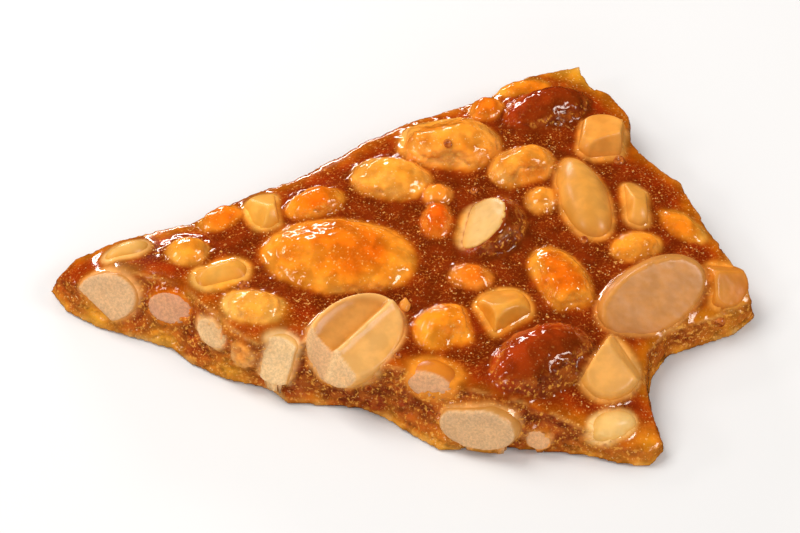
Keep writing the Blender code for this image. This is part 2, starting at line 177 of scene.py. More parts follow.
noFilm = -0.32  # mm, just inside the kernel, so that its flesh shows
filmOver = {"bare": noFilm, "glazed": 0.24, "skin": 0.16}  # mm of caramel over the exposed part


# small helpers

def deselectAll():
    bpy.ops.object.select_all(action='DESELECT')


def makeActive(piece):
    deselectAll()
    piece.select_set(True)
    bpy.context.view_layer.objects.active = piece


def applyModifier(piece, kind, **values):
    makeActive(piece)
    step = piece.modifiers.new(kind.title(), kind)
    for key, value in values.items():
        setattr(step, key, value)
    bpy.ops.object.modifier_apply(modifier=step.name)


def readCoords(piece):
    co = np.empty(len(piece.data.vertices) * 3, np.float32)
    piece.data.vertices.foreach_get("co", co)
    return co.reshape(-1, 3).astype(float)


def writeCoords(piece, co):
    piece.data.vertices.foreach_set("co", co.astype(np.float32).ravel())
    piece.data.update()


def readNormals(piece):
    nor = np.empty(len(piece.data.vertices) * 3, np.float32)
    piece.data.vertex_normals.foreach_get("vector", nor)
    return nor.reshape(-1, 3).astype(float)


def readEdges(piece):
    edges = np.empty(len(piece.data.edges) * 2, np.int32)
    piece.data.edges.foreach_get("vertices", edges)
    return edges.reshape(-1, 2)


def storeValue(piece, name, values):
    layer = piece.data.attributes.new(name, 'FLOAT', 'POINT')
    layer.data.foreach_set("value", values.astype(np.float32))


def storeColour(piece, name, colours):
    layer = piece.data.attributes.new(name, 'FLOAT_COLOR', 'POINT')
    rgba = np.ones((len(colours), 4), np.float32)
    rgba[:, :3] = colours
    layer.data.foreach_set("color", rgba.ravel())


def lumps(co, size, seed=0.0, octaves=1):
    # smooth noise between -1 and 1 whose lumps are that many mm wide
    f = 1.0 / (size * mm)
    shift = Vector((seed * 7.3, seed * 3.1, seed * 5.7))
    if octaves > 1:
        return np.array([noise.fractal(Vector(p) * f + shift, 1.0, 2.1, octaves) for p in co])
    return np.array([noise.noise(Vector(p) * f + shift) for p in co])


def smoothStep(x, low, high):
    t = np.clip((x - low) / (high - low), 0, 1)
    return t * t * (3 - 2 * t)


def relax(values, edges, weight, steps):
    # each value drifts towards the mean of its neighbours, by its weight
    count = len(values)
    a, b = edges[:, 0], edges[:, 1]
    degree = np.maximum(np.bincount(a, minlength=count) + np.bincount(b, minlength=count), 1)
    flat = values.reshape(count, -1).copy()
    for step in range(steps):
        for axis in range(flat.shape[1]):
            column = flat[:, axis]
            total = np.bincount(a, column[b], count) + np.bincount(b, column[a], count)
            flat[:, axis] = column + weight * (total / degree - column)
    return flat.reshape(values.shape)


def heading(azimuth, rise):
    a, e = math.radians(azimuth), math.radians(rise)
    return Vector((math.cos(a) * math.cos(e), math.sin(a) * math.cos(e), math.sin(e)))


def treeOf(piece):
    verts = [v.co.copy() for v in piece.data.vertices]
    return BVHTree.FromPolygons(verts, [tuple(p.vertices) for p in piece.data.polygons])


def linear(colour):
    c = np.array(colour) / 255
    return np.where(c > 0.04, ((c + 0.055) / 1.055) ** 2.4, c / 12.92)


redTone = (142, 38, 8)
# absorb is per mm for red, green and blue; paper and under are how bright it is behind and beneath, under
# darker as painted shade where it rests on the floor
syrup = dict(absorb=np.array((0.30, 1.40, 4.4)), body=np.array((0.120, 0.020, 0.0015)),
             paper=0.9, under=0.62, patchy=0.55)

# kernels

kernelDetail = dict(fineVoxel=0.23, coarseVoxel=0.30, longOver=9.0, rounding=3, dents=0.16, grain=0.035)


def cutFlat(piece, cuts):
    makeActive(piece)
    bpy.ops.object.mode_set(mode='EDIT')
    for azimuth, rise, distance in cuts:
        looks = heading(azimuth, rise)
        bpy.ops.mesh.select_all(action='SELECT')
        bpy.ops.mesh.bisect(plane_co=looks * distance * mm, plane_no=looks, use_fill=True, clear_outer=True)
    bpy.ops.object.mode_set(mode='OBJECT')


def carveHalf(piece, nut):
    # the flat of a split kernel: a raised line along it, hollow on one side, falling away on the other
    shape = nut["ridge"]
    turn = math.radians(nut["turn"])
    co = readCoords(piece)
    azimuth, rise, distance = nut["cuts"][0]
    onTop = smoothStep(co @ np.array(heading(azimuth, rise)) / mm, distance - 0.9, distance - 0.1)
    along = (co[:, 0] * math.cos(turn) + co[:, 1] * math.sin(turn)) / mm
    across = (co[:, 1] * math.cos(turn) - co[:, 0] * math.sin(turn)) / mm
    reach = np.hypot(along / nut["size"][0] * 2, across / nut["size"][1] * 2)
    inner = 1 - smoothStep(reach, 0.70, 0.92)
    across -= shape["offset"]
    line = shape["lift"] * np.exp(-(across / shape["width"]) ** 2)
    bowl = shape["hollow"] * np.exp(-((across - shape["middle"]) / shape["reach"]) ** 4)
    bowl = bowl * smoothStep(across, 0.1, 0.9)
    fall = 0.10 * np.minimum(across, 0)
    co[:, 2] += (line - bowl * inner + fall) * onTop * mm
    writeCoords(piece, co)


def shapeKernel(name, nut):
    deselectAll()
    bpy.ops.mesh.primitive_uv_sphere_add(segments=40, ring_count=20, radius=1)
    piece = bpy.context.object
    piece.name = name.replace("nut_", "kernel_")
    piece.data.name = piece.name
    half = [side * mm / 2 for side in nut["size"]]
    piece.scale = half
    bpy.ops.object.transform_apply(location=False, rotation=False, scale=True)
    for v in piece.data.vertices:
        v.co.y *= 1 - nut.get("taper", 0) * v.co.x / half[0]
    piece.rotation_euler.z = math.radians(nut.get("turn", 0))
    bpy.ops.object.transform_apply(location=False, rotation=True, scale=False)
    voxel = kernelDetail["coarseVoxel" if nut["size"][0] > kernelDetail["longOver"] else "fineVoxel"] * mm
    cuts = nut.get("cuts", [])
    if "ridge" in nut:
        cutFlat(piece, cuts[:1])
        applyModifier(piece, 'REMESH', mode='VOXEL', voxel_size=voxel)
        carveHalf(piece, nut)
        cuts = cuts[1:]
    cutFlat(piece, cuts)
    applyModifier(piece, 'REMESH', mode='VOXEL', voxel_size=voxel)
    applyModifier(piece, 'SMOOTH', factor=0.5, iterations=kernelDetail["rounding"])
    return piece


def finishKernel(piece, nut, number):
    co = readCoords(piece)
    nor = readNormals(piece)
    edges = readEdges(piece)
    onCut = np.zeros(len(co))
    dry = np.zeros(len(co))
    bareUpTo = nut.get("bareUpTo", 99)
    for index, (azimuth, rise, distance) in enumerate(nut.get("cuts", [])):
        looks = np.array(heading(azimuth, rise))
        depth = 1.2 if "ridge" in nut and index == 0 else 0
        onThis = smoothStep(co @ looks / mm, distance - 0.26 - depth, distance - 0.12 - depth)
        onCut = np.maximum(onCut, onThis)
        if index in nut.get("dry", []):
            dry = np.maximum(dry, onThis * (1 - smoothStep(co[:, 2] / mm, bareUpTo, bareUpTo + 0.3)))
    for x, y, depth, radius in nut.get("pits", []):
        apart = np.hypot(co[:, 0] / mm + nut["at"][0] - x, co[:, 1] / mm + nut["at"][1] - y)
        co[:, 2] -= depth * mm * np.exp(-(apart / radius) ** 2) * (co[:, 2] > 0)
    sunk = relax(co, edges, 0.5, 24)
    edge = ((co - sunk) * nor).sum(axis=1) / mm
    edge = smoothStep(edge, 0.10, 0.32)
    dents = lumps(co, 3.4, number) * kernelDetail["dents"]
    grain = lumps(co, 0.7, number + 0.5, 3) * kernelDetail["grain"]
    co += nor * ((dents * (1 - 0.75 * onCut) + grain * (0.2 + 0.3 * onCut + dry))[:, None] * mm)
    co += np.array(nut["at"]) * mm
    writeCoords(piece, co)
    storeValue(piece, "cut", onCut)
    storeValue(piece, "dry", dry)
    storeValue(piece, "edge", edge)
    return edge, (onCut if nut["flesh"] == "skin" else dry)


def shadeHalf(kco, nut):
    # the hollow of a split kernel is darkened as painted shade, the raised line and the rim paler
    shape = nut["ridge"]
    turn = math.radians(nut["turn"])
    local = kco / mm - nut["at"]
    across = local[:, 1] * math.cos(turn) - local[:, 0] * math.sin(turn)
    along = local[:, 0] * math.cos(turn) + local[:, 1] * math.sin(turn)
    reach = np.hypot(along / nut["size"][0] * 2, across / nut["size"][1] * 2)
    across = across - shape["offset"]
    hollow = smoothStep(across, 0.3, 0.9) * (1 - smoothStep(reach, 0.74, 0.9))
    line = np.exp(-(across / 0.35) ** 2)
    shade = 1 - hollow[:, None] * (0.20, 0.34, 0.52) + (line * (1 - hollow))[:, None] * (0.02, 0.12, 0.30)
    return shade


pieces = {}
edgeOf, openOf = {}, {}
for number, (name, nut) in enumerate(kernels.items()):
    pieces[name] = shapeKernel(name, nut)
    edgeOf[name], openOf[name] = finishKernel(pieces[name], nut, number)
print("kernels shaped:", len(pieces))

# one search tree over every kernel; which kernel each face is from, and its edge value
allVerts, allFaces, faceKernel, faceEdge, faceOpen = [], [], [], [], []
for number, (name, piece) in enumerate(pieces.items()):
    first = len(allVerts)
    allVerts += [v.co.copy() for v in piece.data.vertices]
    allFaces += [tuple(first + i for i in p.vertices) for p in piece.data.polygons]
    faceKernel += [number] * len(piece.data.polygons)
    faceEdge += [edgeOf[name][p.vertices[0]] for p in piece.data.polygons]
    faceOpen += [openOf[name][p.vertices[0]] for p in piece.data.polygons]
kernelTree = BVHTree.FromPolygons(allVerts, allFaces)
kernelList = list(kernels.values())

# caramel

caramelDetail = dict(voxel=0.34, swell=0.33, rounding=5, meniscus=0.75, wave=0.16, ripple=0.24,
                     chips=0.12, crest=0.20, thinnest=0.12, socketSwell=0.42)


def copyNode(name):
    # a loose copy of a node, its triangles merged into one mesh
    piece = frame["nodes"][name].copy()
    piece.data = piece.data.copy()
    piece.parent = None
    for key in list(piece.keys()):
        del piece[key]
    bpy.context.scene.collection.objects.link(piece)
    makeActive(piece)
    bpy.ops.object.mode_set(mode='EDIT')
    bpy.ops.mesh.select_all(action='SELECT')
    bpy.ops.mesh.remove_doubles(threshold=1e-6)
    bpy.ops.object.mode_set(mode='OBJECT')
    return piece


def rimPoints(slab):
    # points every 0.3 mm along the sharp edge between the poured top and the broken sides
    corner = {}
    for p in slab.data.polygons:
        for key in p.edge_keys:
            corner.setdefault(key, []).append(p.normal.copy())
    points = []
    for key, normals in corner.items():
        if len(normals) != 2 or normals[0].dot(normals[1]) > 0.85:
            continue
        high, low = sorted(normals, key=lambda n: -n.z)
        a, b = (slab.data.vertices[i].co for i in key)
        if high.z < 0.85 or low.z > 0.7 or min(a.z, b.z) < 3.5 * mm:
            continue
        if kernelTree.find_nearest((a + b) / 2, 0.0005)[0] is not None:
            continue
        steps = max(1, int((b - a).length / (0.3 * mm)))
        points += [a.lerp(b, i / steps) for i in range(steps + 1)]
    return points


def socketFill(name):
    # the buried part of a kernel's solid, a little swollen, so that no gap is left round it
    piece = copyNode(name)
    writeCoords(piece, readCoords(piece) + readNormals(piece) * caramelDetail["socketSwell"] * mm)
    nut = kernels[name]
    reach = max(nut["size"][:2]) / 2 + 0.8
    levels = []
    for turn in range(0, 360, 30):
        start = Vector(nut["at"]) * mm + heading(turn, 0) * reach * mm
        start.z = 0.02
        place, normal, face, distance = slabTree.ray_cast(start, Vector((0, 0, -1)))
        if place is not None and place.z > 2 * mm:
            levels.append(place.z)
    level = sorted(levels)[len(levels) // 3] if levels else nut["at"][2] * mm
    makeActive(piece)
    bpy.ops.object.mode_set(mode='EDIT')
    bpy.ops.mesh.select_all(action='SELECT')
    lid = (0, 0, level - 0.5 * mm)
    bpy.ops.mesh.bisect(plane_co=lid, plane_no=(0, 0, 1), use_fill=True, clear_outer=True)
    bpy.ops.object.mode_set(mode='OBJECT')
    return piece


def keepOuterShell(piece):
    # pockets that the remesh closed off inside are taken away
    makeActive(piece)
    bpy.ops.object.mode_set(mode='EDIT')
    bpy.ops.mesh.select_all(action='DESELECT')
    bpy.ops.object.mode_set(mode='OBJECT')
    highest = max(piece.data.vertices, key=lambda v: v.co.z)
    highest.select = True
    bpy.ops.object.mode_set(mode='EDIT')
    bpy.ops.mesh.select_mode(type='VERT')
    bpy.ops.mesh.select_linked()
    bpy.ops.mesh.select_all(action='INVERT')
    bpy.ops.mesh.delete(type='VERT')
    bpy.ops.object.mode_set(mode='OBJECT')


def caramelBody(slab):
    # the slab and every kernel swollen a little, grown together
    joined = [socketFill(name) for name in pieces]
    for piece in pieces.values():
        swollen = piece.copy()
        swollen.data = piece.data.copy()
        bpy.context.scene.collection.objects.link(swollen)
        writeCoords(swollen, readCoords(swollen) + readNormals(swollen) * caramelDetail["swell"] * mm)
        joined.append(swollen)
    deselectAll()
    for piece in joined:
        piece.select_set(True)
    slab.select_set(True)
    bpy.context.view_layer.objects.active = slab
    bpy.ops.object.join()
    slab.name = "caramelBody"
    slab.data.name = slab.name
    for layer in ("cut", "dry", "edge"):
        slab.data.attributes.remove(slab.data.attributes[layer])
    applyModifier(slab, 'REMESH', mode='VOXEL', voxel_size=caramelDetail["voxel"] * mm)
    keepOuterShell(slab)
    applyModifier(slab, 'SMOOTH', factor=0.5, iterations=caramelDetail["rounding"])
    return slab


def openSlabTree():
    # the slab's own faces, without the sockets
    source = frame["nodes"]["caramel"].data
    verts = [v.co.copy() for v in source.vertices]
    faces = []
    for p in source.polygons:
        hit = kernelTree.find_nearest(p.center, 0.0006)
        if hit[0] is None:
            faces.append(tuple(p.vertices))
    return BVHTree.FromPolygons(verts, faces)


slab = copyNode("caramel")
rim = rimPoints(slab)
rimTree = KDTree(len(rim))
for i, p in enumerate(rim):
    rimTree.insert(p, i)
rimTree.balance()
slabTree = openSlabTree()
caramel = caramelBody(slab)
print("caramel grown together:", len(caramel.data.polygons), "faces,", len(rim), "rim points")

co = readCoords(caramel)
nor = readNormals(caramel)
edges = readEdges(caramel)
count = len(co)

# the film over each kernel: thick where it leaves the slab, thin or none higher up and on steep faces
near = np.full(count, 9.0)
owner = np.full(count, -1)
sharp = np.zeros(count)
opened = np.zeros(count)
away = np.zeros((count, 3))
for i in range(count):
    place, normal, face, distance = kernelTree.find_nearest(Vector(co[i]), 0.0016)
    if place is None:
        continue
    away[i] = normal
    near[i] = distance / mm * (1 if (Vector(co[i]) - place).dot(normal) > 0 else -1)
    owner[i] = faceKernel[face]
    sharp[i] = faceEdge[face]
    opened[i] = faceOpen[face]
rise = np.array([slabTree.find_nearest(Vector(p))[3] or 0 for p in co]) / mm
film = np.array([filmOver[k["flesh"]] + k.get("film", 0) for k in kernelList] + [0])[owner]
covered = film > 0
film = film + covered * (0.16 * lumps(co, 2.6, 3.3) + 0.05 * lumps(co, 0.9, 4.4) - 0.10 * sharp)
film = np.where(opened > 0.5, noFilm, film)
covered &= opened <= 0.5
film = np.where(covered, np.maximum(film * (0.45 + 0.55 * smoothStep(nor[:, 2], 0.1, 0.7)), 0.06), film)
reach = 1 - np.exp(-rise / caramelDetail["meniscus"])
hold = smoothStep(-near, -0.9, -0.35) * (owner >= 0)
shift = (film - caramelDetail["swell"]) * reach * hold
bare = (owner >= 0) & ~covered
pull = relax(away * shift[:, None], edges, bare * 0.6, 4)
co += pull * mm
co = relax(co, edges, (bare & (np.abs(near) < 0.9) & (rise > 0.1)) * 0.5, 3)
for again in range(2):
    for i in np.flatnonzero(covered & (hold > 0.5)):
        place, normal, face, distance = kernelTree.find_nearest(Vector(co[i]), 0.003)
        if place is not None:
            height = (Vector(co[i]) - place).dot(normal) / mm
            wanted = caramelDetail["thinnest"]
            if height < wanted:
                co[i] += np.array(normal) * (wanted - height) * mm
    co = relax(co, edges, covered * 0.3, 1)
writeCoords(caramel, co)
nor = readNormals(caramel)

# the poured top is smooth and a little wavy, the broken sides are rippled and chipped, the rim stands up
fromRim = np.array([rimTree.find(Vector(p))[2] for p in co]) / mm
field = 1 - smoothStep(-near, -1.6, -0.6)
top = field * smoothStep(nor[:, 2], 0.75, 0.95) * (co[:, 2] > 2 * mm) * smoothStep(fromRim, 0.5, 1.5)
co = relax(co, edges, top * 0.5, 40)
side = smoothStep(1 - np.abs(nor[:, 2] - 0.15), 0.35, 0.6)
side = side * smoothStep(co[:, 2] / mm, 0.1, 0.6) * (near > 0.3)
side = relax(side, edges, np.full(count, 0.5), 3)
co[:, 2] += top * caramelDetail["wave"] * lumps(co, 6.0, 1.7) * mm
tears = np.abs(lumps(co * (1, 1, 2.2), 3.2, 8.8))  # creases, longer than they are high
ripple = lumps(co, 2.4, 5.1) * caramelDetail["ripple"] + lumps(co, 0.9, 6.1, 2) * caramelDetail["chips"]
ripple = ripple - 0.3 * (tears < 0.06)
toe = side * np.exp(-np.maximum(co[:, 2] / mm - 0.5, 0) / 1.6)
ripple += toe * (0.30 * lumps(co, 1.7, 15.0) + 0.12 * lumps(co, 0.8, 16.0))
co += nor * (side * ripple * mm)[:, None]
wrinkle = np.exp(-((near - 0.7) / 0.6) ** 2) * (owner >= 0) * covered * smoothStep(nor[:, 2], 0.1, 0.5)
co += nor * (wrinkle * 0.26 * (lumps(co, 0.8, 17.0) + 0.22) * mm)[:, None]
crest = np.exp(-(fromRim / 0.25) ** 2) * smoothStep(lumps(co, 3.0, 18.0), -0.35, 0.15)
co[:, 2] += crest * caramelDetail["crest"] * (0.6 + 0.8 * lumps(co, 2.0, 9.0)) * mm
under = nor[:, 2] < -0.6
co[under, 2] = np.maximum(co[under, 2] * 0.3, 0)
co[:, 2] = np.maximum(co[:, 2], 0)
for axis in (0, 1):
    co[:, axis] = np.clip(co[:, axis], cadBox[0][axis] - 0.3 * mm, cadBox[1][axis] + 0.3 * mm)
writeCoords(caramel, co)
nor = readNormals(caramel)


def paleRim(place, nut):
    # 0 in the middle of a kernel, 1 near its outline
    turn = math.radians(nut.get("turn", 0))
    x, y = place.x / mm - nut["at"][0], place.y / mm - nut["at"][1]
    along = (x * math.cos(turn) + y * math.sin(turn)) / nut["size"][0] * 2
    across = (y * math.cos(turn) - x * math.sin(turn)) / nut["size"][1] * 2
    return float(smoothStep(np.hypot(along, across), 0.45, 0.88))


# where the thin lower edge gets a painted yellow glow, light shining through it: x, y, z and radius in mm
paintedGlowSpots = [(-38.0, -8.6, 1.0, 3.0), (-30.0, -13.0, 0.6, 2.4), (-21.4, -18.4, 0.8, 2.6), (4.8, -31.0, 0.8, 3.4),
        (32.4, -33.0, 2.0, 4.0), (30.5, -30.5, 4.0, 2.6), (42.5, -14.0, 1.2, 3.2), (25.0, 31.0, 4.0, 3.5)]


# the colour of what lies below, seen through the caramel: a kernel, the surface it lies on, or
# daylight at its far side; with painted shade at the floor, round each kernel and on the red skins, and a
# painted yellow glow along the low edge
def colourBelow(co, nor):
    outer = fromRim + 1.5 * lumps(co, 4.0, 12.0)
    thin = 0.34 + 0.66 * smoothStep(outer, 0.3, 5.5)
    golden = 1 - (1 - smoothStep(outer, 0.5, 6.0))[:, None] * (0.0, 0.30, 0.25)
    # the lowest parts and the feet get a painted yellow glow, light shining through the thin edge
    low = np.exp(-np.maximum(co[:, 2] / mm - 0.3, 0) / 1.3)
    low = low * smoothStep(lumps(co, 3.0, 13.0), -0.3, 0.3) * 0.7
    for x, y, z, radius in paintedGlowSpots:
        apart = np.linalg.norm(co / mm - (x, y, z), axis=1)
        low = np.maximum(low, 0.95 * np.exp(-(apart / radius) ** 2))
    thin = thin * (1 - 0.62 * low)
    tones = np.array([linear(k["tone"]) for k in kernelList])
    red = linear(redTone)
    shadeSide = heading(-35, 25)
    amber = [k.get("amber", 0) for k in kernelList]
    aims = [(0, 0)] + [(0.30 * math.cos(a), 0.30 * math.sin(a)) for a in (0.3, 1.56, 2.81, 4.07, 5.33)]
    shade = np.zeros((len(co), 3))
    for i in range(len(co)):
        n, p = Vector(nor[i]), Vector(co[i])
        across = n.orthogonal().normalized()
        along = n.cross(across)
        inside = p - n * 0.02 * mm
        for u, w in aims:
            d = (-n + across * u + along * w).normalized()
            place, normal, face, depth = kernelTree.ray_cast(inside, d, 0.02)
            if place is not None and normal.dot(d) > 0:  # started just inside the kernel
                place, normal, depth = p, n, 0.1 * mm
            outPlace, outNormal, outFace, outDepth = caramelTree.ray_cast(inside, d, depth or 0.02)
            if outPlace is not None and (place is None or outDepth < depth - 0.4 * mm):
                # rays that leave through the bottom get the darker under value: painted shade from the
                # floor contact
                source = np.full(3, syrup["under"] if outPlace.z < 0.4 * mm else syrup["paper"])
                depth, extra = outDepth, 0
            elif place is not None:
                number = faceKernel[face]
                source = tones[number]
                if kernelList[number]["flesh"] == "skin" and faceOpen[face] < 0.5:
                    # the red skin is darkened on its side facing front right: painted shade
                    source = red * (1 - 0.72 * min(max(normal.dot(shadeSide), 0), 0.8) / 0.8)
                # kernels seen deeper in the caramel are darkened: painted shade in the ring round each
                # kernel
                source = source * (1 - 0.62 * min(max((depth / mm - 0.28) / 0.5, 0), 1))
                depth += 0.5 * max(depth - 0.35 * mm, 0)
                patch = 1 + syrup["patchy"] * noise.noise(place / (3.6 * mm))
                extra = 0.7 * amber[number] * patch * (1 - 0.75 * faceEdge[face])
                extra *= 0.35 + 0.65 * min(max((normal.z - 0.1) / 0.6, 0), 1)
                extra *= 1 - 0.72 * paleRim(place, kernelList[number])
            else:
                continue
            passed = depth / mm * thin[i] * golden[i] + extra
            shade[i] += source * np.exp(-syrup["absorb"] * passed) / len(aims)
    # the glowing low edge is mixed towards the painted yellow glow
    low = 0.75 * low[:, None]
    return shade * (1 - low) + low * linear((240, 172, 38)) * (0.85 + 0.6 * lumps(co, 1.4, 19.0))[:, None]


caramelTree = treeOf(caramel)
below = colourBelow(co, nor)
storeColour(caramel, "below", relax(below, edges, 0.5, 2) + syrup["body"])
storeValue(caramel, "side", side)
storeValue(caramel, "crest", crest)
storeValue(caramel, "film", relax(hold * covered, edges, 0.5, 2))
onSkin = np.array([k["flesh"] == "skin" for k in kernelList] + [False])[owner] * (near < 1.0)
storeValue(caramel, "overSkin", relax(onSkin.astype(float), edges, 0.5, 3))
print("caramel film and colour done")

# flesh darkens towards the film it sits in
for name, piece in pieces.items():
    kco = readCoords(piece)
    stain = np.zeros(len(kco))
    for i, p in enumerate(kco):
        place, normal, face, distance = caramelTree.find_nearest(Vector(p), 0.002)
        if place is not None:
            outside = (Vector(p) - place).dot(normal) > 0
            stain[i] = math.exp(-distance / mm / 0.3) if outside else 1.0
    if kernels[name]["flesh"] != "bare":
        writeCoords(piece, kco - readNormals(piece) * (0.20 * mm * (1 - openOf[name]))[:, None])
    tone = linear(kernels[name]["tone"])
    edge = edgeOf[name]
    flesh = np.tile(tone, (len(kco), 1)) * (1 + 0.12 * edge[:, None])
    # painted shade in the hollow of the split kernel
    if "ridge" in kernels[name]:
        flesh *= shadeHalf(kco, kernels[name])
    mottled = 1 + 0.8 * lumps(kco, 2.2, 2.2)
    depth = kernels[name].get("amber", 0) * 0.55 * mottled * (1 - edge) + 0.32 * stain
    storeColour(piece, "flesh", flesh * np.exp(-depth[:, None] * syrup["absorb"]))
    piece.data.shade_smooth()
caramel.data.shade_smooth()


# blisters and crumbs

# x and y in mm at a height of 7 mm, and how wide; each is slid along the look to whatever surface it meets
blisters = [(-19.47, -8.8, 1.7), (28.8, 12.4, 1.5), (9.65, 7.0, 1.3), (23.45, -1.3, 1.2),
            (40.3, -15.0, 1.4), (-0.2, -20.0, 1.1), (-3.8, -25.2, 1.0), (4.9, -29.7, 0.9),
            (6.3, 15.2, 1.3)]
# and how much each crumb is drawn out along x, y and z
crumbs = [(2.0, 0.0, 2.4, (1.2, 0.8, 0.6)), (0.7, -12.0, 1.8, (0.8, 1.3, 0.6)),
          (-3.4, -27.4, 2.6, (1.2, 0.5, 0.8))]
look = dict(rise=50, start=40)


def surfaceAt(x, y):
    # from the front and above, so that the broken front is reached as well
    toward = -heading(-90, look["rise"])
    start = Vector((x, y, 7)) * mm - toward * look["start"] * mm
    place, normal, face, distance = caramelTree.ray_cast(start, toward)
    return place, normal


def addBlister(x, y, width, number):
    # a dome with a burst, dimpled top
    place, normal = surfaceAt(x, y)
    deselectAll()
    middle = place - normal * 0.12 * width * mm
    bpy.ops.mesh.primitive_uv_sphere_add(segments=20, ring_count=12, radius=width * mm / 2, location=middle)
    dome = bpy.context.object
    dome.name = f"blister_{number}"
    dome.rotation_euler = normal.to_track_quat('Z', 'Y').to_euler()
    radius = width * mm / 2
    for v in dome.data.vertices:
        off = math.hypot(v.co.x, v.co.y) / radius
        if v.co.z > 0 and off < 0.62:
            v.co.z -= radius * 0.75 * (1 - (off / 0.62) ** 2)
        v.co.x *= 1 + 0.18 * math.sin(number * 2.1)
    bpy.ops.object.transform_apply(location=True, rotation=True, scale=True)
    return dome


def addCrumb(x, y, width, squash, number):
    # a small chip with flat breaks
    place, normal = surfaceAt(x, y)
    deselectAll()
    bpy.ops.mesh.primitive_ico_sphere_add(subdivisions=4, radius=width * mm / 2)
    crumb = bpy.context.object
    crumb.name = f"crumb_{number}"
    crumb.scale = squash
    bpy.ops.object.transform_apply(location=False, rotation=False, scale=True)
    dice = random.Random(31 + number)
    cutFlat(crumb, [(dice.uniform(0, 360), dice.uniform(10, 70), dice.uniform(0.26, 0.36) * width)
                    for cut in range(5)])
    applyModifier(crumb, 'REMESH', mode='VOXEL', voxel_size=0.09 * mm)
    applyModifier(crumb, 'SMOOTH', factor=0.5, iterations=3)
    crumb.location = place + normal * 0.1 * mm
    bpy.ops.object.transform_apply(location=True, rotation=False, scale=False)
    return crumb


blisterPieces = [addBlister(*spot, number) for number, spot in enumerate(blisters)]
crumbPieces = [addCrumb(*spot, number) for number, spot in enumerate(crumbs)]
for piece in blisterPieces + crumbPieces:
    piece.data.shade_smooth()
for number, piece in enumerate(crumbPieces):
    kco = readCoords(piece)
    storeValue(piece, "cut", np.ones(len(kco)))
    storeValue(piece, "dry", np.zeros(len(kco)))
    pale = linear((232, 170, 90)) * np.exp(-syrup["absorb"] * 0.25)
    storeColour(piece, "flesh", np.tile(pale, (len(kco), 1)))
print("blisters and crumbs:", len(blisterPieces), len(crumbPieces))


# finishes

def startFinish(name):
    finish = bpy.data.materials.new(name)
    finish.use_nodes = True
    tree = finish.node_tree
    shader = tree.nodes["Principled BSDF"]
    return finish, tree, shader


def addNode(tree, kind, **values):
    node = tree.nodes.new(kind)
    for key, value in values.items():
        if key in node.inputs:
            node.inputs[key].default_value = value
        else:
            setattr(node, key, value)
    return node


def readLayer(tree, name, output="Fac"):
    return addNode(tree, 'ShaderNodeAttribute', attribute_name=name).outputs[output]


def blendColours(tree, share, first, second, kind='MIX'):
    node = addNode(tree, 'ShaderNodeMix', data_type='RGBA', blend_type=kind)
    sockets = (node.inputs["Factor"], node.inputs[6], node.inputs[7])
    for socket, value in zip(sockets, (share, first, second)):
        if hasattr(value, "is_linked"):
            tree.links.new(value, socket)
        else:
            socket.default_value = value if isinstance(value, float) else (*value, 1)
    return node.outputs[2]


def speckle(tree, scale, detail=2.0, roughness=0.5):
    place = addNode(tree, 'ShaderNodeTexCoord').outputs["Object"]
    node = addNode(tree, 'ShaderNodeTexNoise', Scale=scale, Detail=detail, Roughness=roughness)
    tree.links.new(place, node.inputs["Vector"])
    return node.outputs["Fac"]


def glitter(tree, scale, small, big):
    place = addNode(tree, 'ShaderNodeTexCoord').outputs["Object"]
    node = addNode(tree, 'ShaderNodeTexVoronoi', Scale=scale, Randomness=1.0)
    tree.links.new(place, node.inputs["Vector"])
    return stretch(tree, node.outputs["Distance"], big, small)


def stretch(tree, source, low, high, first=0.0, last=1.0):
    node = addNode(tree, 'ShaderNodeMapRange', interpolation_type='SMOOTHSTEP')
    tree.links.new(source, node.inputs["Value"])
    for key, value in (("From Min", low), ("From Max", high), ("To Min", first), ("To Max", last)):
        node.inputs[key].default_value = value
    return node.outputs["Result"]


def maths(tree, operation, first, second):
    node = addNode(tree, 'ShaderNodeMath', operation=operation)
    for socket, value in zip(node.inputs, (first, second)):
        if hasattr(value, "is_linked"):
            tree.links.new(value, socket)
        else:
            socket.default_value = value
    return node.outputs[0]


def tint(*colour):
    return tuple(float(c) for c in linear(colour))


